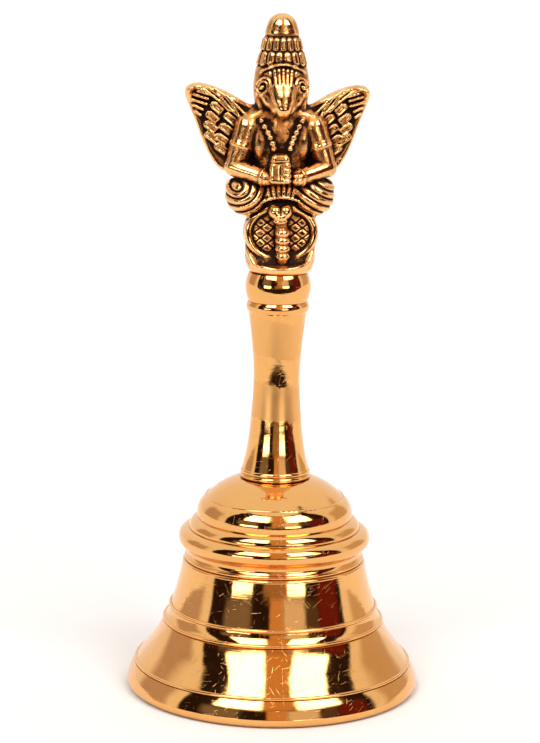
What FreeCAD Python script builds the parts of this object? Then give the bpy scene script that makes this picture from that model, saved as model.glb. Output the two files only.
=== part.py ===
"""Brass puja bell: a turned bell shell, a turned grip, a cast winged finial and a hung clapper.

Millimetres, +Z up. The origin is the centre of the mouth on the plane of the lip, and the
figure on the finial faces -Y. Each function makes one separate piece, in place.
"""

import FreeCAD
import Part
import math
import os

V = FreeCAD.Vector
Z_AXIS = V(0, 0, 1)

# Driving dimensions
MOUTH_R = 34.7  # widest radius of the lip
TOTAL_H = 160.0  # lip to the tip of the finial's crown
DOME_TOP_Z = 51.0  # seat of the grip on the bell
GRIP_TOP_Z = 100.0  # seat of the finial on the grip
CEILING_Z = 48.0  # flat inside the crown, where the washer bears
FOOT_R = 8.3  # foot of the grip

# Hanging hardware
STUD_R = 2.5  # M5 shank of the eye bolt
STUD_TOP_Z = 63.0
WASHER_R, WASHER_T = 5.6, 1.0
NUT_FLATS, NUT_H = 8.0, 4.0
EYE_WIRE_R, EYE_BEND_R, EYE_STRAIGHT = 1.1, 2.4, 2.6
LINK_WIRE_R, LINK_BEND_R, LINK_STRAIGHT = 0.7, 2.9, 0.8
HANG_GAP = 0.05  # running clearance between two hung wires
CLAPPER_EYE_WIRE_R, CLAPPER_EYE_R = 1.1, 2.6
CLAPPER_ROD_R = 1.5
BALL_R = 7.5
BALL_LOW_Z = 1.2  # the ball clears the table when the bell stands

NUT_LOW_Z = CEILING_Z - WASHER_T - NUT_H
EYE_Z = NUT_LOW_Z - 1.4 - EYE_BEND_R
EYE_BAR_Z = EYE_Z - EYE_BEND_R
LINK_TOP_Z = EYE_BAR_Z + EYE_WIRE_R + LINK_WIRE_R + HANG_GAP
SWING_Z = LINK_TOP_Z - 2 * LINK_BEND_R - LINK_STRAIGHT
CLAPPER_EYE_Z = SWING_Z + LINK_WIRE_R + CLAPPER_EYE_WIRE_R + HANG_GAP - CLAPPER_EYE_R
BALL_Z = BALL_LOW_Z + BALL_R

# Finial tenon, brazed into a socket in the grip
TENON_R, TENON_LENGTH = 3.2, 5.0


def section(points):
    """A solid turned about Z from a closed half-section.

    points holds (r, z) corners joined by straight edges. ("arc", middle, end) is a round edge
    and ("curve", point, point, ...) is a smooth one.
    """
    edges = []
    here = V(points[0][0], 0, points[0][1])
    first = here
    for step in points[1:]:
        if step[0] == "arc":
            middle, end = (V(r, 0, z) for r, z in step[1:])
            edges.append(Part.Arc(here, middle, end).toShape())
        elif step[0] == "curve":
            through = [here] + [V(r, 0, z) for r, z in step[1:]]
            curve = Part.BSplineCurve()
            curve.interpolate(through)
            edges.append(curve.toShape())
            end = through[-1]
        else:
            end = V(step[0], 0, step[1])
            edges.append(Part.makeLine(here, end))
        here = end
    if here.distanceToPoint(first) > 1e-6:
        edges.append(Part.makeLine(here, first))
    return Part.Face(Part.Wire(edges)).revolve(V(0, 0, 0), Z_AXIS, 360)


def bead(r, z, size):
    """Steps of a small half-round ridge standing out of a wall that passes through (r, z)."""
    return [(r, z - size), ("arc", (r + size, z), (r - 0.2, z + size))]


def dome(r, z, apex_z):
    """The step that closes a section onto the axis as a ball cap from (r, z) to its apex."""
    rise = apex_z - z
    ball_r = (r * r + rise * rise) / (2 * abs(rise))
    half = math.asin(min(1.0, r / ball_r)) / 2
    middle_z = apex_z - math.copysign(ball_r * (1 - math.cos(half)), rise)
    return ("arc", (ball_r * math.sin(half), middle_z), (0, apex_z))


def bell_shell():
    """The cast and turned bell: flared skirt with three ridges, stepped collar and domed crown."""
    outside = [
        (32.2, 0.0),
        (33.4, 0.0),
        ("arc", (34.45, 0.75), (MOUTH_R, 2.2)),
        ("curve", (34.1, 4.1), (33.0, 6.1)),
        *bead(32.6, 6.5, 0.4),
        ("curve", (29.8, 10.2), (27.7, 13.3), (26.3, 16.2)),
        *bead(25.9, 16.8, 0.4),
        ("arc", (24.9, 18.4), (24.6, 19.5)),
        *bead(24.5, 20.0, 0.4),
        ("curve", (23.1, 24.2), (22.1, 28.4), (21.7, 30.6)),
        ("arc", (21.5, 31.2), (21.0, 31.3)),
        ("arc", (21.3, 31.8), (20.9, 32.3)),
        ("arc", (20.5, 33.3), (21.0, 34.3)),
        ("arc", (22.7, 36.3), (20.4, 38.9)),
        (20.25, 38.9),
        ("arc", (19.85, 40.35), (18.65, 41.25)),
        (18.3, 41.4),
        ("arc", (17.95, 44.5), (16.55, 46.3)),
        ("arc", (16.4, 46.6), (16.1, 46.55)),
        ("curve", (13.3, 48.9), (FOOT_R + 0.5, DOME_TOP_Z)),
    ]
    bore = [(STUD_R + 0.2, DOME_TOP_Z), (STUD_R + 0.2, CEILING_Z)]
    inside = [
        (7.0, CEILING_Z),
        ("arc", (12.6, 45.6), (16.2, 40.2)),
        ("curve", (18.2, 33.0), (20.6, 23.0), (24.7, 13.2), (29.1, 6.0)),
        ("arc", (30.7, 2.6), (32.2, 0.0)),
    ]
    return section(outside + bore + inside)


def handle_stem():
    """The turned grip: rounded foot, waisted barrel, ring and ball, with a hole in each end."""
    tap_top = STUD_TOP_Z + 2.0
    socket_z = GRIP_TOP_Z - TENON_LENGTH - 0.5
    return section(
        [
            (STUD_R, DOME_TOP_Z),
            (FOOT_R - 0.6, DOME_TOP_Z),
            ("arc", (FOOT_R, DOME_TOP_Z + 0.6), (FOOT_R - 0.3, DOME_TOP_Z + 1.2)),
            ("arc", (FOOT_R - 0.1, DOME_TOP_Z + 1.7), (7.9, DOME_TOP_Z + 2.3)),
            (
                "curve",
                (7.05, 56.6),
                (6.15, 63.0),
                (5.5, 71.0),
                (5.5, 78.6),
                (6.2, 86.4),
                (6.8, 90.7),
            ),
            ("arc", (7.35, 91.9), (7.0, 93.2)),
            (6.85, 93.3),
            ("arc", (7.65, 96.7), (6.9, GRIP_TOP_Z)),
            (TENON_R, GRIP_TOP_Z),
            (TENON_R, socket_z),
            (0, socket_z - 1.2),
            (0, tap_top + 1.4),
            (STUD_R, tap_top),
        ]
    )


def limb(start, end, start_r, end_r):
    """A tapering round limb with a ball at each end; the two radii differ."""
    a, b = V(*start), V(*end)
    along = b - a
    bone = Part.makeCone(start_r, end_r, along.Length, a, along)
    return bone.fuse([Part.makeSphere(start_r, a), Part.makeSphere(end_r, b)])


def oval_plate(half_width, half_height, centre_z, front_y, back_y):
    """A flat oval standing on edge, facing -Y."""
    oval = Part.Ellipse(V(0, front_y, centre_z), half_width, half_height)
    oval.Axis = V(0, -1, 0)
    face = Part.Face(Part.Wire(oval.toShape()))
    return face.extrude(V(0, back_y - front_y, 0))


def wing():
    """One flat cast wing on the +X side with a rounded leading edge, swept back to its tip."""
    front_y, thickness, sweep = -0.2, 2.6, 8.0
    edge = [(5.0, 137.6), (9.0, 139.2), (13.5, 141.4), (18.5, 143.3), (21.4, 142.3), (20.6, 138.6),
            (18.4, 133.0), (15.8, 127.8), (12.4, 123.6), (6.0, 124.0)]
    curve = Part.BSplineCurve()
    curve.interpolate([V(x, front_y, z) for x, z in edge], PeriodicFlag=True)
    plate = Part.Face(Part.Wire(curve.toShape())).extrude(V(0, thickness, 0))
    leading = limb((7.0, 1.1, 137.6), (19.6, 1.1, 141.9), 1.9, 1.3)
    spread = plate.fuse(leading)
    spread.rotate(V(0, front_y, 0), Z_AXIS, sweep)
    return spread


def crown():
    """The tall tapering crown: a brow band, a fluted tier, a collar and a domed tip."""
    tip_r = 3.8
    return section(
        [
            (0, 143.0),
            (6.2, 143.0),
            ("arc", (6.7, 146.2), (6.0, 147.6)),
            (5.8, 148.2),
            ("arc", (5.95, 149.6), (5.2, 151.2)),
            (4.95, 151.6),
            ("arc", (5.0, 152.6), (4.3, 154.0)),
            (4.1, 154.2),
            (tip_r, TOTAL_H - tip_r),
            dome(tip_r, TOTAL_H - tip_r, TOTAL_H),
        ]
    )


def garuda_finial():
    """The cast finial: winged bird-headed figure over a hooded serpent, plinth and tenon."""
    tenon = Part.makeCylinder(TENON_R, TENON_LENGTH + 1, V(0, 0, GRIP_TOP_Z - TENON_LENGTH))
    plinth = section(
        [(0, GRIP_TOP_Z), (6.9, GRIP_TOP_Z), ("curve", (8.1, 101.4), (8.6, 104.4)), (0, 104.9)]
    )
    halo = oval_plate(9.2, 7.2, 109.8, -2.0, 2.6).cut(oval_plate(7.2, 5.2, 109.8, -3.0, -1.2))
    serpent = limb((0, -3.8, 104.0), (0, -3.2, 111.0), 1.8, 1.6)
    hood = limb((0, -3.4, 112.4), (0, -3.2, 114.0), 2.7, 2.2)
    centre = [
        limb((0, 0.4, 118.4), (0, 0.6, 124.0), 5.0, 4.4),
        limb((0, 0.7, 128.0), (0, 0.7, 137.0), 4.6, 4.0),
        limb((0, -0.4, 141.0), (0, -0.2, 143.4), 5.9, 6.2),
        crown(),
        Part.makeCone(3.4, 0.8, 8.4, V(0, -3.6, 142.9), V(0, -0.5, -0.86)),
        limb((0, -6.3, 120.8), (0, -6.0, 125.0), 2.0, 1.7),
    ]
    sides = [
        limb((3.5, -0.8, 118.5), (8.6, -1.4, 118.0), 4.4, 3.9),
        limb((3.4, 0.6, 127.2), (3.8, 0.6, 133.8), 4.5, 4.9),
        limb((8.0, 0.2, 133.4), (10.9, -1.4, 124.4), 2.4, 1.9),
        limb((10.9, -1.4, 124.4), (2.4, -5.9, 121.9), 1.9, 1.5),
        wing(),
    ]
    flip = [piece.mirror(V(0, 0, 0), V(1, 0, 0)) for piece in sides]
    return tenon.fuse([plinth, halo, serpent, hood, *centre, *sides, *flip])


def loop(bend_r, straight, wire_r, centre_z, axis):
    """A closed wire loop of two bends and two straights. Its straights run along axis."""
    half = straight / 2.0
    across = V(0, 0, 1) if axis.z < 0.5 else V(0, 1, 0)
    centre = V(0, 0, centre_z)
    sides = []
    for turn in (1, -1):
        mid = centre + axis * (half * turn)
        start, end = mid + across * (bend_r * turn), mid - across * (bend_r * turn)
        sides.append(Part.Arc(start, mid + axis * (bend_r * turn), end).toShape())
        sides.append(Part.makeLine(end, end - axis * (straight * turn)))
    path = Part.Wire(sides)
    first = path.Edges[0]
    begin = first.FirstParameter
    ring = Part.Wire(Part.makeCircle(wire_r, first.valueAt(begin), first.tangentAt(begin)))
    return path.makePipeShell([ring], True, True)


def eye_bolt():
    """Steel eye bolt: the shank clamps the grip to the bell, and the eye hangs the clapper."""
    shank_low = EYE_Z + EYE_BEND_R
    shank = Part.makeCylinder(STUD_R, STUD_TOP_Z - 0.5 - shank_low, V(0, 0, shank_low))
    tip = Part.makeCone(STUD_R, STUD_R - 0.5, 0.5, V(0, 0, STUD_TOP_Z - 0.5))
    eye = loop(EYE_BEND_R, EYE_STRAIGHT, EYE_WIRE_R, EYE_Z, V(1, 0, 0))
    return shank.fuse([tip, eye]).removeSplitter()


def crown_washer():
    plate = Part.makeCylinder(WASHER_R, WASHER_T, V(0, 0, CEILING_Z - WASHER_T))
    return plate.cut(Part.makeCylinder(STUD_R + 0.15, WASHER_T, V(0, 0, CEILING_Z - WASHER_T)))


def crown_nut():
    """A hexagon nut with its corners chamfered by a cone, as a real one is."""
    corner_r = NUT_FLATS / math.sqrt(3)
    angles = [math.radians(60 * i) for i in range(7)]
    points = [V(corner_r * math.cos(a), corner_r * math.sin(a), NUT_LOW_Z) for a in angles]
    block = Part.Face(Part.makePolygon(points)).extrude(V(0, 0, NUT_H))
    chamfer = 0.35
    turned = section(
        [
            (STUD_R, NUT_LOW_Z),
            (NUT_FLATS / 2, NUT_LOW_Z),
            (corner_r + 0.05, NUT_LOW_Z + chamfer),
            (corner_r + 0.05, NUT_LOW_Z + NUT_H - chamfer),
            (NUT_FLATS / 2, NUT_LOW_Z + NUT_H),
            (STUD_R, NUT_LOW_Z + NUT_H),
        ]
    )
    return block.common(turned)


def clapper_link():
    """The wire link that hangs in the bolt's eye and carries the clapper."""
    middle = LINK_TOP_Z - LINK_BEND_R - LINK_STRAIGHT / 2.0
    return loop(LINK_BEND_R, LINK_STRAIGHT, LINK_WIRE_R, middle, V(0, 0, 1))


def clapper_rod():
    """The forged clapper rod: an eye at the top, and a tail riveted over under the ball."""
    eye = Part.makeTorus(CLAPPER_EYE_R, CLAPPER_EYE_WIRE_R, V(0, 0, CLAPPER_EYE_Z), V(0, 1, 0))
    neck_z = CLAPPER_EYE_Z - CLAPPER_EYE_R
    rod = section(
        [
            (0, neck_z - 0.3),
            (CLAPPER_ROD_R * 0.9, neck_z - 0.8),
            (CLAPPER_ROD_R, BALL_Z + BALL_R - 0.2),
            (CLAPPER_ROD_R, BALL_LOW_Z + 0.25),
            dome(CLAPPER_ROD_R, BALL_LOW_Z + 0.25, BALL_LOW_Z - 0.35),
        ]
    )
    return eye.fuse(rod).removeSplitter()


def clapper_ball():
    """The turned striking ball, drilled for the rod, with a short neck on top."""
    flat_z = BALL_LOW_Z + 0.3
    top_z = BALL_Z + BALL_R + 1.2
    ball = Part.makeSphere(BALL_R, V(0, 0, BALL_Z))
    neck = Part.makeCone(4.4, 2.6, top_z - BALL_Z - 5.6, V(0, 0, BALL_Z + 5.6))
    below = Part.makeCylinder(BALL_R, 2.0, V(0, 0, flat_z - 2.0))
    hole = Part.makeCylinder(CLAPPER_ROD_R + 0.02, 2 * BALL_R + 4, V(0, 0, BALL_LOW_Z - 1))
    return ball.fuse(neck).cut(below).cut(hole)


PIECES = (
    bell_shell,
    handle_stem,
    garuda_finial,
    eye_bolt,
    crown_washer,
    crown_nut,
    clapper_link,
    clapper_rod,
    clapper_ball,
)

os.makedirs("parts", exist_ok=True)
for make in PIECES:
    shape = make()
    solids = shape.Solids
    if len(solids) == 1:
        shape = solids[0]
    print(make.__name__, len(solids), shape.isValid(), round(shape.Volume, 1))
    shape.exportStep(f"parts/{make.__name__}.step")
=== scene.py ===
import math

import bpy
import numpy as np
import openvdb
from mathutils import Matrix


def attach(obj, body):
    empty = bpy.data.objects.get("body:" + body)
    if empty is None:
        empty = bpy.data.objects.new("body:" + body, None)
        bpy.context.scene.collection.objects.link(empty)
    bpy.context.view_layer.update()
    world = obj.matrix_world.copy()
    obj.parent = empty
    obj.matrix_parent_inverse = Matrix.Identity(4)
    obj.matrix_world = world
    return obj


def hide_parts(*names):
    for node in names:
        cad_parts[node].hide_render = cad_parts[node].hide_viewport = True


# Looks for the brass hand bell. The turned and fitted parts keep their CAD meshes and get metal
# materials. The cast finial is sculpted here as a block of signed distances, in millimetres in
# the shared frame, then meshed and put in place of its plain CAD solid. -Y is the figure's front.

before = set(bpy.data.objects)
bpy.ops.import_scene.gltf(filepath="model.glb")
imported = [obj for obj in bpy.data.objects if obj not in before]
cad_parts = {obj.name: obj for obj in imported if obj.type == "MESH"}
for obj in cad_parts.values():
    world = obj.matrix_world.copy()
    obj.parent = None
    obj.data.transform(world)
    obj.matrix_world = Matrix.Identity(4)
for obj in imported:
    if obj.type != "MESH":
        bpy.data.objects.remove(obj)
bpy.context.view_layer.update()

MM = 0.001
VOXEL = 0.27
BLOCK_LOW = (-24.0, -10.5, 98.5)
BLOCK_HIGH = (24.0, 9.8, 161.5)
FAR = 3.0  # distances are only kept this close to the surface


def smooth_min(a, b, k):
    h = np.maximum(k - np.abs(a - b), 0.0) / k
    return np.minimum(a, b) - h * h * k * 0.25


def smooth_max(a, b, k):
    return -smooth_min(-a, -b, k)


def smooth_step(low, high, t):
    u = np.clip((t - low) / (high - low), 0.0, 1.0)
    return u * u * (3.0 - 2.0 * u)


def bump(t, width):
    """1 on the line t = 0, falling to nothing about two widths away."""
    return np.exp(-np.square(t / width))


class Clay:
    """Signed distance to the casting's surface on a grid; negative is metal."""

    def __init__(self):
        self.axes = [
            np.arange(low, high, VOXEL, dtype=np.float32) for low, high in zip(BLOCK_LOW, BLOCK_HIGH)
        ]
        self.d = np.full([len(axis) for axis in self.axes], FAR, np.float32)

    def window(self, low, high):
        """The grid slice and its x, y, z coordinates for a box, with room for blending."""
        cut, coords = [], []
        for k, axis in enumerate(self.axes):
            first = np.searchsorted(axis, low[k] - 2.0)
            last = np.searchsorted(axis, high[k] + 2.0)
            cut.append(slice(first, max(last, first + 1)))
            shape = [1, 1, 1]
            shape[k] = -1
            coords.append(axis[cut[-1]].reshape(shape))
        return tuple(cut), coords

    def add(self, shape, low, high, soft=0.5):
        """Joins shape(x, y, z) on, with a fillet of about soft millimetres."""
        cut, xyz = self.window(low, high)
        self.d[cut] = smooth_min(self.d[cut], shape(*xyz), soft)

    def press(self, height, low, high):
        """Raises the surface by height(x, y, z), or sinks it where the height is negative."""
        cut, xyz = self.window(low, high)
        self.d[cut] = self.d[cut] - height(*xyz)

    def ellipsoid(self, centre, radii, soft=0.8):
        def shape(x, y, z):
            p = [(v - c) / r for v, c, r in zip((x, y, z), centre, radii)]
            q = [v / r for v, r in zip(p, radii)]
            k0 = np.sqrt(p[0] ** 2 + p[1] ** 2 + p[2] ** 2)
            k1 = np.sqrt(q[0] ** 2 + q[1] ** 2 + q[2] ** 2)
            return k0 * (k0 - 1.0) / np.maximum(k1, 1e-6)

        self.add(shape, np.subtract(centre, radii), np.add(centre, radii), soft)

    def limb(self, start, end, start_r, end_r, soft=0.5):
        a, b = np.array(start, float), np.array(end, float)
        ab = b - a

        def shape(x, y, z):
            px, py, pz = x - a[0], y - a[1], z - a[2]
            h = np.clip((px * ab[0] + py * ab[1] + pz * ab[2]) / (ab @ ab), 0.0, 1.0)
            away = np.sqrt((px - h * ab[0]) ** 2 + (py - h * ab[1]) ** 2 + (pz - h * ab[2]) ** 2)
            return away - (start_r + (end_r - start_r) * h)

        reach = max(start_r, end_r)
        self.add(shape, np.minimum(a, b) - reach, np.maximum(a, b) + reach, soft)

    def chain(self, points, radii, soft=0.3):
        """A bent limb through points."""
        for k in range(len(points) - 1):
            self.limb(points[k], points[k + 1], radii[k], radii[k + 1], soft)

    def band(self, centre, along, radius, half_width, round_r=0.3, soft=0.15):
        """A flat ring round a limb: a short fat disc across the limb's direction."""
        n = np.array(along, float) / np.linalg.norm(along)

        def shape(x, y, z):
            px, py, pz = x - centre[0], y - centre[1], z - centre[2]
            t = px * n[0] + py * n[1] + pz * n[2]
            r = np.sqrt(np.maximum(px**2 + py**2 + pz**2 - t * t, 0.0))
            out = np.maximum(r - radius + round_r, 0)
            over = np.maximum(abs(t) - half_width + round_r, 0)
            return np.hypot(out, over) - round_r

        self.add(shape, np.subtract(centre, radius), np.add(centre, radius), soft)


def oval_distance(x, z, half_width, half_height):
    """Distance to an oval's edge, negative inside."""
    k0 = np.sqrt((x / half_width) ** 2 + (z / half_height) ** 2)
    k1 = np.sqrt((x / half_width**2) ** 2 + (z / half_height**2) ** 2)
    return k0 * (k0 - 1.0) / np.maximum(k1, 1e-6)


def outline_distance(points, x, z):
    """Distance to a closed outline in the x, z plane, negative inside."""
    best = np.full(np.broadcast(x, z).shape, 1e9)
    inside = np.zeros(best.shape, bool)
    for (ax, az), (bx, bz) in zip(points, points[1:] + points[:1]):
        ex, ez = bx - ax, bz - az
        wx, wz = x - ax, z - az
        t = np.clip((wx * ex + wz * ez) / (ex * ex + ez * ez), 0.0, 1.0)
        best = np.minimum(best, (wx - ex * t) ** 2 + (wz - ez * t) ** 2)
        crosses = (z >= min(az, bz)) & (z < max(az, bz)) & (ex * wz * np.sign(ez) > wx * abs(ez))
        inside ^= crosses
    return np.where(inside, -1.0, 1.0) * np.sqrt(best)


def smooth_outline(points, steps=8):
    """A closed curve through points, as many short sides."""
    p = np.array(points, float)
    ring = []
    for k in range(len(p)):
        a, b, c, d = p[k - 1], p[k], p[(k + 1) % len(p)], p[(k + 2) % len(p)]
        for t in np.arange(steps) / steps:
            slope = (c - a) * t
            bend = (2 * a - 5 * b + 4 * c - d) * t**2
            twist = (3 * b - a - 3 * c + d) * t**3
            ring.append(0.5 * (2 * b + slope + bend + twist))
    return [tuple(q) for q in ring]


def line_distance(points, x, z):
    """Distance to a bent line in the x, z plane."""
    best = 1e9
    for (ax, az), (bx, bz) in zip(points, points[1:]):
        ex, ez = bx - ax, bz - az
        t = np.clip(((x - ax) * ex + (z - az) * ez) / (ex * ex + ez * ez), 0.0, 1.0)
        best = np.minimum(best, np.hypot(x - ax - ex * t, z - az - ez * t))
    return best


# The cast finial

def plinth(clay):
    """A boat-shaped base with a floor that slopes to the front and a thin raised lip."""
    lip_r = 7.5

    def shape(x, y, z):
        x = x - 0.3
        r = np.sqrt(x * x + y * y)
        side = np.interp(z, [100.0, 100.7, 102.0, 104.0, 107.5], [6.6, 7.35, 7.9, 8.15, 8.2])
        wall = r - side.astype(np.float32)
        lip = 0.4 * smooth_step(lip_r - 0.8, lip_r, r) + 0.05 * x
        slope = np.interp(y, [-8.2, -4.6, -2.9, 0.0], [0.0, 1.1, 3.4, 5.4]).astype(np.float32)
        oval = np.hypot((x + 1.8) / 3.2, (y + 6.0) / 1.1)
        top = z - (101.3 + slope + lip) - 0.25 * smooth_step(1.1, 0.8, oval)
        return smooth_max(smooth_max(wall, top * 0.8, 0.3), 100.0 - z, 0.3)

    clay.add(shape, (-8.6, -8.6, 99.8), (8.9, 8.6, 107.5), 0.2)


def halo(clay):
    """The oval plaque behind the serpent: a round rim about a field of cut diamonds."""
    middle_x, middle_z, half_width, half_height = 0.35, 109.5, 8.65, 7.2
    rim_width, pitch, groove = 1.8, 1.95, 0.15

    def shape(x, y, z):
        edge = oval_distance(x - middle_x, z - middle_z, half_width, half_height)
        across = np.clip((edge + rim_width / 2) / (rim_width / 2), -1.0, 1.0)
        rim = 1.2 * np.sqrt(np.maximum(1.0 - across**2, 0.0))
        cut = 0.0
        for slope in (0.75, -0.75):
            ramp = ((z - middle_z) + slope * (x - middle_x)) / math.hypot(1.0, slope) / pitch
            cut = np.maximum(cut, bump(((ramp + 0.5) % 1.0 - 0.5) * pitch, groove))
        field = 0.5 * (1 - cut) * smooth_step(-rim_width - 0.05, -rim_width - 0.4, edge)
        face = -2.2 - rim - field
        plate = np.maximum(face - y, y - 2.3 - 0.5 * rim)
        return smooth_max(plate, edge, 0.4)

    clay.add(shape, (-9.4, -3.8, 101.8), (9.6, 3.0, 117.4), 0.2)


def serpent(clay):
    """The hooded serpent that rises from the plinth: ringed column, neck and heart-shaped head."""
    for k in range(4):
        z = 104.2 + 1.85 * k
        clay.ellipsoid((0.62 - 0.06 * k, -4.3, z), (1.75, 1.6, 1.2), 0.1)
    clay.limb((0.6, -4.0, 103), (0.2, -3.9, 112), 1.5, 1.3, 0.2)
    for side in (-1, 1):
        clay.ellipsoid((1.15 * side - 0.15, -4.7, 114.6), (1.6, 1.5, 1.75), 0.5)
        clay.limb((1.8 * side - 0.15, -4.4, 115.9), (0.5 * side - 0.15, -5.9, 113.6), 0.55, 0.45, 0.5)
    clay.ellipsoid((-0.15, -5.0, 112.9), (1.75, 1.5, 1.2), 0.35)
    clay.ellipsoid((-0.15, -6.0, 113.6), (0.75, 0.7, 0.6), 0.2)

    def mouth(x, y, z):
        gape = bump(z - 112.75 - 0.14 * (x + 0.15) ** 2, 0.17)
        part = bump(x + 0.15, 0.2) * smooth_step(114.2, 115.4, z)
        return -0.32 * np.maximum(gape, part) * (y < -4.4)

    clay.press(mouth, (-2.2, -6.4, 112.3), (2.0, -5.0, 115.8))


def lap(clay):
    """Crossed legs under a draped cloth, with a beaded hem arched over the plaque."""
    clay.ellipsoid((0.0, 0.0, 115.2), (8.6, 3.4, 2.9), 0.8)
    clay.ellipsoid((0.0, -0.3, 119.2), (7.0, 4.6, 3.3), 0.8)
    for side in (-1, 1):
        clay.ellipsoid((7.8 * side, -1.0, 118.2), (4.85, 4.9, 4.75), 0.8)
        clay.limb((10.9 * side, -0.6, 120.2), (7.0 * side, -2.6, 116.4), 1.7, 1.6, 0.8)

    def folds(x, y, z):
        left = np.hypot(x + 10.3, (z - 120.6) * 1.1) / 1.8 + 0.25
        right = np.hypot(x - 15.5, z - 131.0) / 1.75
        turns = np.where(x < 0, left, right)
        pleat = np.arctan2(x, z - 108.0) / 0.105
        middle = smooth_step(3.6, 3.0, abs(x))
        crease = bump(((turns + 0.5) % 1.0 - 0.5) * 1.8, 0.27) * (1 - middle)
        pleats = 0.8 * bump(((pleat + 0.5) % 1.0 - 0.5) * 1.25, 0.25) * middle
        crease = crease + pleats * smooth_step(116.3, 117.3, z)
        low = smooth_step(112.9, 113.9, z) * smooth_step(122.6, 121.6, z)
        return (0.12 - 0.62 * crease) * low * smooth_step(-0.2, -1.8, y)

    clay.press(folds, (-13.0, -6.5, 113.0), (13.0, 3.0, 122.6))
    for k in range(-12, 13):
        angle = k * 0.1
        aside, up = math.sin(angle), math.cos(angle)
        spot = (0.2 + 8.3 * aside, -4.7 + 1.7 * abs(aside), 110.7 + 7.3 * up)
        clay.ellipsoid(spot, (0.46, 0.6, 0.42), 0.05)


def torso(clay):
    """Chest and sloping shoulders, a shawl end on each side and two strings of beads."""
    clay.ellipsoid((0, 0.2, 124.5), (6.2, 4.1, 6.0), 1.0)
    clay.ellipsoid((0, 0.2, 130.6), (7.0, 4.2, 7.4), 1.0)
    clay.ellipsoid((0, 0.9, 136.4), (7.6, 3.5, 3.4), 1.2)
    clay.ellipsoid((0, 1.4, 128.0), (10.4, 2.4, 7.5), 0.8)
    for side in (-1, 1):
        clay.ellipsoid((6.7 * side, 0.2, 133.9), (3.2, 3.1, 3.0), 1.2)
        clay.limb((3.6 * side, -0.4, 137.2), (7.9 * side, -0.3, 134.6), 2.2, 2.5, 1.0)
        clay.ellipsoid((5.0 * side, -1.3, 131.2), (2.0, 2.2, 4.6), 0.7)
        for k in range(7):
            t = k / 5.6
            x = 5.6 - 5.2 * t + 1.6 * t * t
            z = 136.8 - 7.0 * t
            y = 0.2 - 4.3 * math.sqrt(max(0.0, 1 - (x / 7.3) ** 2 - ((z - 130.6) / 8.4) ** 2)) - 0.85
            clay.ellipsoid((x * side, y, z), (0.7, 0.7, 0.68), 0.03)


def arms(clay):
    """Arms bent inwards with armlets and wrist cuffs, and hands folded in front."""
    for side in (-1, 1):
        shoulder = (7.7 * side, -0.5, 133.7)
        elbow = (10.8 * side, -1.9, 124.7)
        wrist = (3.7 * side, -5.9, 122.7)
        clay.limb(shoulder, elbow, 3.1, 2.15, 0.4)
        clay.limb(elbow, wrist, 2.2, 1.75, 0.3)
        down = np.subtract(elbow, shoulder)
        for t, r in ((0.40, 2.85), (0.48, 2.95)):
            clay.band(np.add(shoulder, down * t), down, r, 0.4)
        clay.band((4.3 * side, -5.6, 122.9), (-7.2 * side, -4.0, -1.6), 2.2, 0.3)

    def hands(x, y, z):
        half = np.interp(z, [121.2, 126.0, 128.5], [2.4, 2.25, 1.6]).astype(np.float32)
        px = np.maximum(abs(x + 0.5) - half + 0.8, 0.0)
        py = np.maximum(abs(y + 6.3 - 0.1 * (z - 124)) - 1.0, 0.0)
        pz = np.maximum(abs(z - 124.9) - 2.4, 0.0)
        return np.sqrt(px * px + py * py + pz * pz) - 1.0

    clay.add(hands, (-3.4, -8.4, 121.0), (2.6, -4.0, 129.4), 0.25)

    def fingers(x, y, z):
        lines = sum(bump(z - h, 0.19) for h in (122.7, 124.0, 125.2)) * smooth_step(0.1, 0.7, x)
        knuckle = bump(z - 126.4 - 0.05 * x, 0.19)
        seam = bump(x + 0.5, 0.18) * smooth_step(126.2, 125.6, z)
        seam = seam * smooth_step(1.0, 0.6, abs(z - 124.0) - 1.2)
        return -0.4 * np.minimum(lines + knuckle + 0.7 * seam, 1.0) * (y < -6.2)

    clay.press(fingers, (-2.8, -8.6, 121.6), (2.4, -6.6, 127.0))


def crown_radius(z):
    heights = [133.0, 136.0, 138.5, 141.5, 144.5, 147.7, 151.2, 154.2, 155.0, 158.4]
    radii = [2.6, 4.6, 5.9, 6.4, 6.45, 5.85, 4.85, 4.1, 3.95, 3.66]
    return np.interp(z, heights, radii).astype(np.float32)


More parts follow.
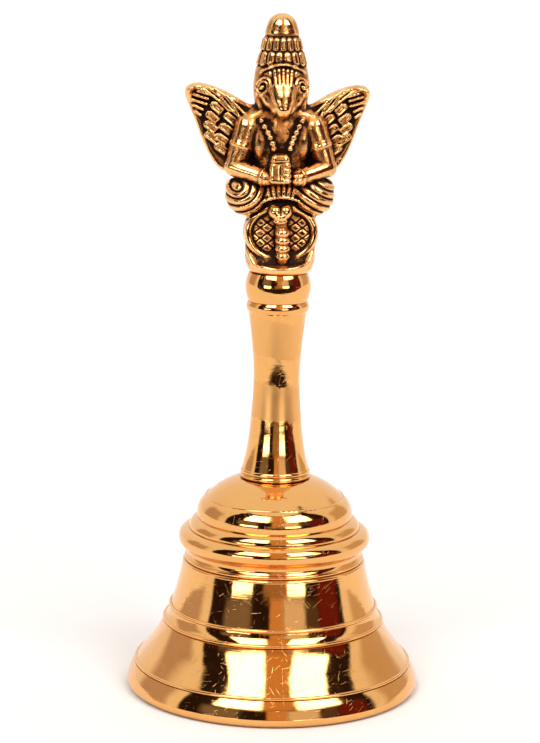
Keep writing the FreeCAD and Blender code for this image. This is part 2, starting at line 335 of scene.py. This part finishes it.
def head(clay):
    """A bird's head with a broad beak under a tall fluted crown."""
    tip_z, tip_r, brow_z = 156.4, 3.6, 148.5

    def skull(x, y, z):
        front = smooth_step(1.25, 0.75, abs(np.arctan2(x, -y)))
        hollow = 3.2 * front * smooth_step(143.4, 137.6, z)
        side = (np.hypot(x, y / 0.9) - crown_radius(z) + hollow) * 0.85
        dome = np.sqrt(x * x + (y / 0.95) ** 2 + (z - tip_z) ** 2) - tip_r
        return np.where(z > tip_z, dome, smooth_max(side, 133.6 - z, 1.5))

    clay.add(skull, (-6.8, -6.4, 133.0), (6.8, 6.2, 160.4), 0.6)

    def flutes(x, y, z):
        angle = np.arctan2(x, -y)
        lift = -0.1
        for middle, half, shift in ((149.75, 1.45, 0.0), (153.0, 1.35, 0.5)):
            cell = 2 * math.pi / 15
            width = cell * crown_radius(middle)
            s = ((angle / cell + shift) % 1.0 - 0.5) * width
            stadium = np.hypot(s, np.maximum(abs(z - middle) - half + 0.55, 0.0)) - 0.42 * width
            lift = lift + 0.38 * smooth_step(0.12, -0.32, stadium)
        for ring, deep in ((151.35, 0.2), (148.0, 0.2), (154.6, 0.08)):
            lift = lift - deep * bump(z - ring, 0.2)
        lift = lift * (np.hypot(x, y) > 2.0) * smooth_step(147.6, 148.0, z)
        return lift * smooth_step(155.3, 154.9, z)

    clay.press(flutes, (-6.8, -6.4, 149.4), (6.8, 6.2, 153.4))

    def brow(x, y, z):
        line = z - (brow_z - 0.07 * np.minimum(x * x, 40.0))
        cord = 0.5 * bump(line, 0.28) - 0.4 * bump(line + 0.62, 0.24)
        cord = cord - 0.4 * bump(line - 0.62, 0.24)
        return cord * smooth_step(1.2, 0.8, abs(np.arctan2(x, -y)))

    clay.press(brow, (-6.8, -6.4, 145.6), (6.8, 6.2, 149.0))

    # a broad beak that narrows to a blunt tip, with a soft jaw from cheek to cheek
    clay.chain([(0.0, -1.7, 144.6), (0.0, -3.3, 142.6), (0.0, -5.0, 140.5), (0.1, -6.6, 138.6)],
               [4.35, 3.65, 2.85, 1.75], 0.9)
    for side in (-1, 1):
        jaw = [
            (4.6 * side, -2.9, 142.0),
            (3.2 * side, -4.1, 140.1),
            (1.6 * side, -5.3, 138.3),
            (0.0, -6.1, 137.5),
        ]
        clay.chain(jaw, [1.2, 1.05, 0.9, 0.9], 1.0)

    def rays(x, y, z):
        fan = x / (1.0 + 0.05 * (z - 143.0)) / 0.86
        top = brow_z - 0.07 * x * x
        fade = smooth_step(143.6, 144.6, z) * smooth_step(top - 0.5, top - 1.0, z)
        fade = fade * smooth_step(3.1, 2.7, abs(x))
        return -0.42 * bump((fan % 1.0 - 0.5) * 0.86, 0.2) * fade * (y < -3.0)

    clay.press(rays, (-3.6, -7.6, 143.0), (3.6, -4.0, 147.8))

    def eyes(x, y, z):
        s = (abs(np.arctan2(x, -y)) - math.radians(50)) * 7.0
        t = z - 143.2 + 0.25 * s
        r = np.hypot(s, t * 1.15)
        lid = smooth_step(-0.9, 0.1, t)
        height = 0.5 * smooth_step(0.8, 0.2, r) - 0.65 * bump(r - 1.0, 0.3)
        height = height + 0.3 * bump(r - 1.55, 0.26) - 0.35 * bump(r - 2.0, 0.22) * lid
        return height + 0.35 * bump(r - 2.5, 0.28) * lid - 0.3 * bump(r - 3.0, 0.22) * lid

    clay.press(eyes, (-6.8, -6.8, 140.4), (6.8, -1.0, 147.0))


WING_EDGE = [
    (4.5, 137.2), (7.5, 139.2), (11.0, 141.2), (14.8, 142.9), (18.4, 143.7),
    (20.8, 143.0), (21.4, 141.2), (20.2, 138.0), (18.9, 134.6), (17.3, 130.4),
    (15.6, 126.8), (13.2, 123.9), (9.0, 123.6), (5.0, 128.0),
]


def feather(x, z, tip, bearing, length, half_width):
    """Height of one round-ended scale whose free end is at tip and points along bearing."""
    ux, uz = math.cos(math.radians(bearing)), math.sin(math.radians(bearing))
    along = (x - tip[0]) * ux + (z - tip[1]) * uz
    across = -(x - tip[0]) * uz + (z - tip[1]) * ux
    end = np.hypot(across, np.maximum(along + half_width, 0.0)) - half_width
    body = np.maximum(end, -along - length)
    rise = 1.0 + 0.25 * np.clip((along + length) / length, 0.0, 1.0)
    quill = bump(end + 0.72 * half_width, 0.2) * (along < -0.3 * half_width)
    return (rise - 0.35 * quill) * smooth_step(0.08, -0.3, body)


def wing(clay, side, reach, lift):
    """One wing: rolled leading edge, long ridges, two rows of scales and the outer pinions."""
    outline = smooth_outline(WING_EDGE)
    scales = [((15.8, 139.4), 41), ((16.8, 137.2), 39), ((17.2, 134.9), 38), ((16.9, 132.5), 36),
              ((12.8, 136.9), 39), ((13.8, 134.6), 38), ((14.7, 132.1), 36), ((14.8, 129.8), 34)]
    pinions = [
        [(18.8, 141.9), (15.9, 141.1)],
        [(19.6, 141.1), (16.3, 140.1)],
        [(19.9, 139.9), (16.6, 138.9)],
        [(19.4, 138.6), (17.4, 137.6)],
        [(19.0, 137.2), (17.8, 136.3)],
    ]
    ridges = [[(18.8, 142.7), (16.9, 142.1), (13.5, 139.5), (11.6, 137.6)],
              [(16.3, 142.8), (13.5, 140.6), (11.0, 137.6), (8.8, 135.8)],
              [(15.0, 142.7), (12.3, 140.6), (10.3, 138.0), (9.6, 136.9)],
              [(12.2, 141.0), (9.9, 138.7), (8.0, 136.8)]]

    def relief(x, z):
        height = np.zeros(np.broadcast(x, z).shape)
        for tip, bearing in scales:
            height = np.maximum(height, feather(x, z, tip, bearing, 3.7, 1.08))
        for line in pinions:
            height = np.maximum(height, 1.15 * smooth_step(0.62, 0.15, line_distance(line, x, z)))
        for line in ridges:
            height = np.maximum(height, 1.35 * smooth_step(0.66, 0.1, line_distance(line, x, z)))
        return height

    def shape(x, y, z):
        u = abs(x) / reach
        v = z - lift * smooth_step(8.0, 20.0, u)
        edge = outline_distance(outline, u, v)
        rim = smooth_step(138.4, 140.4, v)
        roll = 1.15 * bump(edge + 0.75, 0.7) * rim + 1.2 * bump(np.hypot(u - 20.2, v - 142.3), 1.3)
        sweep = 0.4 + 0.09 * (u - 5.0)
        height = relief(u, v)
        front = sweep - 0.7 - np.maximum(height, roll)
        back = sweep + 1.3 + 0.5 * height
        slab = np.maximum(front - y, y - back) * 0.8
        return np.where(x * side > 2.0, smooth_max(slab, edge, 0.6), FAR)

    low, high = (4.0, -3.5, 122.5), (22.5, 5.0, 145.0)
    if side < 0:
        low, high = (-high[0], low[1], low[2]), (-low[0], high[1], high[2])
    clay.add(shape, low, high, 0.3)


def blur(field, radius, rounds=2):
    """Box blur of radius millimetres along each axis."""
    n = max(1, round(radius / VOXEL))
    for _ in range(rounds):
        for axis in range(3):
            pad = [(0, 0)] * 3
            pad[axis] = (n + 1, n)
            total = np.cumsum(np.pad(field, pad, mode="edge"), axis=axis, dtype=np.float64)
            size = field.shape[axis]
            top = np.take(total, range(2 * n + 1, 2 * n + 1 + size), axis=axis)
            bottom = np.take(total, range(size), axis=axis)
            field = ((top - bottom) / (2 * n + 1)).astype(np.float32)
    return field


def sample(field, spots):
    """field at spots, given in voxels, between its grid points."""
    base = np.clip(np.floor(spots).astype(int), 0, np.array(field.shape) - 2)
    frac = spots - base
    total = np.zeros(len(spots))
    for corner in np.ndindex(2, 2, 2):
        weight = np.prod(np.where(corner, frac, 1 - frac), axis=1)
        i, j, k = (base + corner).T
        total += weight * field[i, j, k]
    return total


def clay_mesh(clay, name):
    """The clay's surface as a smooth quad mesh that carries how raised each point is."""
    grid = openvdb.FloatGrid(FAR)
    grid.copyFromArray(clay.d)
    spots, quads = grid.convertToQuads(0.0)
    near = np.clip(clay.d, -1.6, 1.6)
    raised = 2.6 * sample(blur(near, 0.45), spots) + 0.3 * sample(blur(clay.d, 1.4), spots)
    mesh = bpy.data.meshes.new(name)
    places = (np.array(BLOCK_LOW) + spots * VOXEL) * MM
    mesh.from_pydata(places.tolist(), [], quads[:, ::-1].tolist())
    mesh.polygons.foreach_set("use_smooth", [True] * len(mesh.polygons))
    layer = mesh.attributes.new("raised", "FLOAT", "POINT")
    layer.data.foreach_set("value", raised.astype(np.float32))
    mesh.update()
    return bpy.data.objects.new(name, mesh)


def sculpt_finial():
    clay = Clay()
    wing(clay, 1, 0.97, -0.2)
    wing(clay, -1, 1.035, 0.1)
    halo(clay)
    lap(clay)
    torso(clay)
    arms(clay)
    head(clay)
    plinth(clay)
    serpent(clay)
    clay.limb((0, 0, 95.2), (0, 0, 101), 3.1, 3.1, 0.1)
    grit = np.random.default_rng(7).standard_normal(clay.d.shape).astype(np.float32)
    clay.d = clay.d + 0.3 * blur(grit, 0.6)
    pits = 3.0 * blur(grit, 0.35)
    cut, (x, y, z) = clay.window((-5.0, -5.5, 131.0), (5.0, -2.0, 137.0))
    rough = smooth_step(6.0, 4.6, abs(x) - 0.55 * (z - 134.0)) * (y < -1.0)
    clay.d[cut] = clay.d[cut] + 0.1 * pits[cut] * rough
    clay.d = np.clip(clay.d, -FAR, FAR)
    return clay_mesh(clay, "garuda_casting")


# Materials

class Nodes:
    """Small helper that wires shader nodes in plain calls."""

    def __init__(self, tree):
        self.tree = tree
        tree.nodes.clear()

    def add(self, kind, inputs=None, **settings):
        node = self.tree.nodes.new(kind)
        for key, value in settings.items():
            setattr(node, key, value)
        for key, value in (inputs or {}).items():
            self.feed(node.inputs[key], value)
        return node

    def feed(self, socket, value):
        if isinstance(value, bpy.types.NodeSocket):
            self.tree.links.new(value, socket)
        else:
            socket.default_value = value

    def math(self, operation, a, b=0.0, c=0.0):
        return self.add("ShaderNodeMath", {0: a, 1: b, 2: c}, operation=operation).outputs[0]

    def remap(self, value, low, high, out_low=0.0, out_high=1.0):
        inputs = {"Value": value, "From Min": low, "From Max": high}
        inputs.update({"To Min": out_low, "To Max": out_high})
        return self.add("ShaderNodeMapRange", inputs, interpolation_type="SMOOTHSTEP").outputs[0]

    def mix(self, factor, a, b):
        node = self.add("ShaderNodeMix", data_type="RGBA")
        self.feed(node.inputs[0], factor)
        self.feed(node.inputs[6], a)
        self.feed(node.inputs[7], b)
        return node.outputs[2]

    def noise(self, vector, scale, detail=3.0, rough=0.5):
        inputs = {"Vector": vector, "Scale": scale, "Detail": detail, "Roughness": rough}
        return self.add("ShaderNodeTexNoise", inputs).outputs[0]

    def relief(self, strength, distance, height):
        inputs = {"Strength": strength, "Distance": distance, "Height": height}
        return self.add("ShaderNodeBump", inputs).outputs[0]

    def vector(self, x, y, z):
        return self.add("ShaderNodeCombineXYZ", {0: x, 1: y, 2: z}).outputs[0]


def rgb(r, g, b):
    return (r, g, b, 1.0)


def new_material(name):
    material = bpy.data.materials.new(name)
    material.use_nodes = True
    return material, Nodes(material.node_tree)


def finish_material(n, normal, **inputs):
    named = {key.replace("_", " "): value for key, value in inputs.items()}
    shader = n.add("ShaderNodeBsdfPrincipled", named)
    n.feed(shader.inputs["Normal"], normal)
    out = n.add("ShaderNodeOutputMaterial")
    n.tree.links.new(shader.outputs[0], out.inputs[0])


def scratches(n, round_way, z, lean, density):
    """Fine straight scratches leaning by lean degrees on the unrolled wall, as thin lines."""
    c, s = math.cos(math.radians(lean)), math.sin(math.radians(lean))
    along = n.math("MULTIPLY_ADD", round_way, c, n.math("MULTIPLY", z, s))
    across = n.math("MULTIPLY_ADD", round_way, -s, n.math("MULTIPLY", z, c))
    lines = n.vector(n.math("MULTIPLY", along, 210.0), n.math("MULTIPLY", across, 5200.0), lean)
    return n.remap(n.noise(lines, 1.0, 1.0), 1.0 - density, 1.04 - density)


def turned_brass(name, colour, deep, rough, ring_depth, satin_zones=()):
    """Lathe-turned, buffed brass: rings round Z, wipe marks, stray scratches, dull grooves darkened
    with painted shade.

    satin_zones are (low, high) heights in metres that the buffing wheel left satin.
    """
    material, n = new_material(name)
    place = n.add("ShaderNodeTexCoord").outputs["Object"]
    x, y, z = n.add("ShaderNodeSeparateXYZ", {0: place}).outputs
    r = n.math("SQRT", n.math("ADD", n.math("MULTIPLY", x, x), n.math("MULTIPLY", y, y)))
    turn = n.math("MULTIPLY", n.math("ARCTAN2", x, y), 0.0006)
    lathe = n.vector(r, z, turn)
    rings = n.noise(lathe, 2600.0, 3.0, 0.7)
    waves = n.noise(lathe, 320.0, 2.0)
    dents = n.noise(place, 170.0, 2.0)
    cloud = n.noise(place, 60.0, 4.0, 0.6)
    wipe = n.noise(place, 420.0, 3.0, 0.65)
    round_way = n.math("MULTIPLY", n.math("ARCTAN2", x, n.math("MULTIPLY", y, -1.0)), r)
    scratch = scratches(n, round_way, z, 35.0, 0.29)
    for lean, density in ((-52.0, 0.28), (8.0, 0.29), (78.0, 0.27)):
        scratch = n.math("MAXIMUM", scratch, scratches(n, round_way, z, lean, density))
    # ambient occlusion of the grooves: drives painted shade in their colour below, and their duller
    # roughness
    hollow = n.add("ShaderNodeAmbientOcclusion", {"Distance": 0.0011}, samples=6).outputs["AO"]
    groove = n.remap(hollow, 0.8, 0.35)
    ragged = n.math("MULTIPLY_ADD", wipe, 0.004, n.math("MULTIPLY_ADD", x, 0.12, z))
    satin = 0.0
    for low, high in satin_zones:
        above = n.remap(ragged, low, low + 0.0015)
        below = n.remap(ragged, high + 0.001, high)
        satin = n.math("ADD", n.math("MULTIPLY", above, below), satin)
    tone = n.mix(n.remap(cloud, 0.35, 0.7, 0.0, 0.55), colour, deep)
    # painted shade: the grooves' colour is darkened by their ambient occlusion, standing in for the
    # shadow in them
    tone = n.mix(n.math("MULTIPLY", groove, 0.55), tone, rgb(0.2, 0.08, 0.02))
    gloss = n.remap(wipe, 0.35, 0.75, rough, rough + 0.05)
    gloss = n.math("ADD", gloss, n.math("MULTIPLY", scratch, 0.09))
    gloss = n.math("ADD", gloss, n.math("MULTIPLY", groove, 0.15))
    gloss = n.math("MULTIPLY_ADD", satin, 0.27, gloss)
    height = n.math("MULTIPLY_ADD", rings, 0.3, n.math("MULTIPLY", waves, 1.0))
    height = n.math("MULTIPLY_ADD", dents, 2.4, height)
    height = n.math("MULTIPLY_ADD", scratch, -0.25, height)
    normal = n.relief(ring_depth, 0.00006, height)
    finish_material(n, normal, Base_Color=tone, Metallic=1.0, Roughness=gloss)
    return material


def cast_brass():
    """Sand-cast brass: dark wax and tarnish in every recess, rubbed coppery gold on the heights."""
    material, n = new_material("brass_antiqued")
    place = n.add("ShaderNodeTexCoord").outputs["Object"]
    raised = n.add("ShaderNodeAttribute", attribute_name="raised").outputs["Fac"]
    speck = n.noise(place, 1500.0, 4.0, 0.7)
    blotch = n.noise(place, 260.0, 3.0, 0.6)
    height = n.math("MULTIPLY_ADD", n.math("SUBTRACT", speck, 0.5), 0.7, raised)
    height = n.math("MULTIPLY_ADD", n.math("SUBTRACT", blotch, 0.5), 0.2, height)
    dark = n.remap(height, 0.03, -0.22)
    rubbed = n.remap(height, 0.0, 0.38)
    tone = n.mix(rubbed, rgb(0.55, 0.22, 0.06), rgb(0.95, 0.55, 0.22))
    tone = n.mix(n.remap(blotch, 0.45, 0.7, 0.0, 0.35), tone, rgb(0.42, 0.15, 0.05))
    tone = n.mix(dark, tone, rgb(0.02, 0.006, 0.002))
    gloss = n.math("ADD", n.remap(rubbed, 0.0, 1.0, 0.3, 0.11), n.math("MULTIPLY", dark, 0.3))
    grain = n.math("MULTIPLY_ADD", n.noise(place, 2600.0, 2.0), 0.4, speck)
    rough = n.remap(rubbed, 0.0, 1.0, 0.6, 0.2)
    normal = n.relief(rough, 0.00012, grain)
    metal = n.remap(dark, 0.4, 1.0, 1.0, 0.8)
    finish_material(n, normal, Base_Color=tone, Metallic=metal, Roughness=gloss)
    return material


def plain_steel():
    """Bright drawn wire and a pressed nut, zinc-grey with light brown handling stains."""
    material, n = new_material("steel")
    place = n.add("ShaderNodeTexCoord").outputs["Object"]
    draw = n.add("ShaderNodeMapping", {"Vector": place, "Scale": (900.0, 900.0, 180.0)}).outputs[0]
    streak = n.noise(draw, 1.0, 3.0, 0.6)
    stain = n.noise(place, 240.0, 4.0, 0.65)
    tone = n.mix(n.remap(streak, 0.3, 0.7), rgb(0.42, 0.42, 0.43), rgb(0.62, 0.61, 0.6))
    tone = n.mix(n.remap(stain, 0.52, 0.72, 0.0, 0.6), tone, rgb(0.2, 0.13, 0.08))
    gloss = n.remap(stain, 0.3, 0.75, 0.24, 0.5)
    normal = n.relief(0.35, 0.00005, streak)
    finish_material(n, normal, Base_Color=tone, Metallic=1.0, Roughness=gloss)
    return material


def dress(node, material):
    """Gives a carried-over CAD piece its material."""
    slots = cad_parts[node].data.materials
    slots.clear()
    slots.append(material)


# Studio

def studio_light():
    """A pale tent all round, and a dark room in front with softboxes and a few coloured panels."""
    world = bpy.data.worlds.new("studio")
    bpy.context.scene.world = world
    world.use_nodes = True
    n = Nodes(world.node_tree)
    direction = n.add("ShaderNodeTexCoord").outputs["Generated"]
    x, y, z = n.add("ShaderNodeSeparateXYZ", {0: direction}).outputs
    bearing = n.math("DEGREES", n.math("ARCTAN2", x, n.math("MULTIPLY", y, -1.0)))
    height = n.math("DEGREES", n.math("ARCSINE", z))

    def panel(left, right, low, high, soft=2.5):
        edges = [
            n.remap(bearing, left - soft, left + soft),
            n.remap(bearing, right + soft, right - soft),
            n.remap(height, low - soft, low + soft),
            n.remap(height, high + soft, high - soft),
        ]
        mask = edges[0]
        for edge in edges[1:]:
            mask = n.math("MULTIPLY", mask, edge)
        return mask

    light = rgb(1.0, 0.985, 0.96)
    white = rgb(6.6, 6.4, 6.2)
    # (left, right, low, high, soft edge) in degrees of bearing from -Y and of elevation, then the
    # light there; a later panel covers an earlier one
    panels = (
        ((-131, -95, -10, 32, 5.0), rgb(0.57, 0.46, 0.43)),
        ((96, 134, -10, 32, 5.0), rgb(0.68, 0.55, 0.42)),
        ((-82, 83, -95, 66, 2.0), rgb(0.022, 0.012, 0.008)),
        ((-12, 16, 29, 64, 4.0), rgb(0.7, 0.36, 0.14)),
        ((-16, 28, -2, 8, 3.0), rgb(0.42, 0.26, 0.14)),
        ((-8, 8, 8, 29, 2.0), rgb(0.72, 0.38, 0.15)),
        ((33, 50, 8, 27, 2.0), rgb(0.1, 0.07, 0.05)),
        ((-62, -31, 8, 25, 4.0), rgb(0.24, 0.2, 0.17)),
        ((8, 33, 8, 27, 3.0), rgb(0.85, 0.78, 0.76)),
        ((50, 76, -95, 27, 4.0), rgb(0.15, 0.018, 0.012)),
        ((-55, -30, 0, 6, 1.5), white),
        ((12, 34, 0, 6, 1.5), white),
        ((-54, -13, 29, 60, 2.5), white),
        ((18, 57, 29, 60, 2.5), white),
    )
    for box, colour in panels:
        light = n.mix(panel(*box), light, colour)
    lamp = n.add("ShaderNodeBackground", {"Color": light, "Strength": 1.0})
    paper = n.add("ShaderNodeBackground", {"Color": rgb(1, 1, 1), "Strength": 1.0})
    seen = n.add("ShaderNodeLightPath").outputs["Is Camera Ray"]
    mixed = n.add("ShaderNodeMixShader", {0: seen, 1: lamp.outputs[0], 2: paper.outputs[0]})
    out = n.add("ShaderNodeOutputWorld")
    n.tree.links.new(mixed.outputs[0], out.inputs[0])


def pale_floor():
    mesh = bpy.data.meshes.new("floor")
    size, front = 4.0, 0.27
    corners = [(-size, -front, 0), (size, -front, 0), (size, size, 0), (-size, size, 0)]
    mesh.from_pydata(corners, [], [(0, 1, 2, 3)])
    floor = bpy.data.objects.new("floor", mesh)
    bpy.context.scene.collection.objects.link(floor)
    material, n = new_material("floor_white")
    place = n.add("ShaderNodeTexCoord").outputs["Object"]
    paper = n.noise(place, 900.0, 3.0)
    tone = n.mix(paper, rgb(0.78, 0.78, 0.78), rgb(0.8, 0.8, 0.8))
    normal = n.relief(0.05, 0.0001, paper)
    finish_material(n, normal, Base_Color=tone, Roughness=0.9)
    mesh.materials.append(material)


def photo_camera():
    """Long lens from above and a little to the figure's right, turned back to centre the bell."""
    aside, distance, height = 0.050, 0.588, 0.192
    pitch, turn = 11.13, 4.62
    data = bpy.data.cameras.new("camera")
    data.sensor_fit = "VERTICAL"
    data.sensor_height = 36.0
    data.lens = 123.9
    data.clip_end = 20.0
    camera = bpy.data.objects.new("camera", data)
    bpy.context.scene.collection.objects.link(camera)
    camera.location = (-aside, -distance, height)
    tilted = Matrix.Rotation(math.radians(90 - pitch), 3, "X")
    camera.rotation_euler = (tilted @ Matrix.Rotation(math.radians(-turn), 3, "Y")).to_euler()
    bpy.context.scene.camera = camera


def main():
    finial = sculpt_finial()
    bpy.context.scene.collection.objects.link(finial)
    finial.data.materials.append(cast_brass())
    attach(finial, "bell")
    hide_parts("garuda_finial")

    gold, deep_gold = rgb(0.87, 0.46, 0.155), rgb(0.80, 0.39, 0.125)
    polished = turned_brass("brass_polished", gold, deep_gold, 0.05, 0.35)
    satin_zones = ((0.0665, 0.0755), (0.0815, 0.0905))
    gripped = turned_brass("brass_grip", gold, deep_gold, 0.055, 0.35, satin_zones)
    clapper = turned_brass("brass_clapper", rgb(0.7, 0.46, 0.2), rgb(0.45, 0.27, 0.1), 0.26, 0.6)
    steel = plain_steel()
    dress("bell_shell", polished)
    dress("handle_stem", gripped)
    for node in ("eye_bolt", "crown_washer", "crown_nut", "clapper_link", "clapper_rod"):
        dress(node, steel)
    dress("clapper_ball", clapper)

    studio_light()
    pale_floor()
    photo_camera()
    bpy.context.scene.view_settings.view_transform = "Standard"


main()
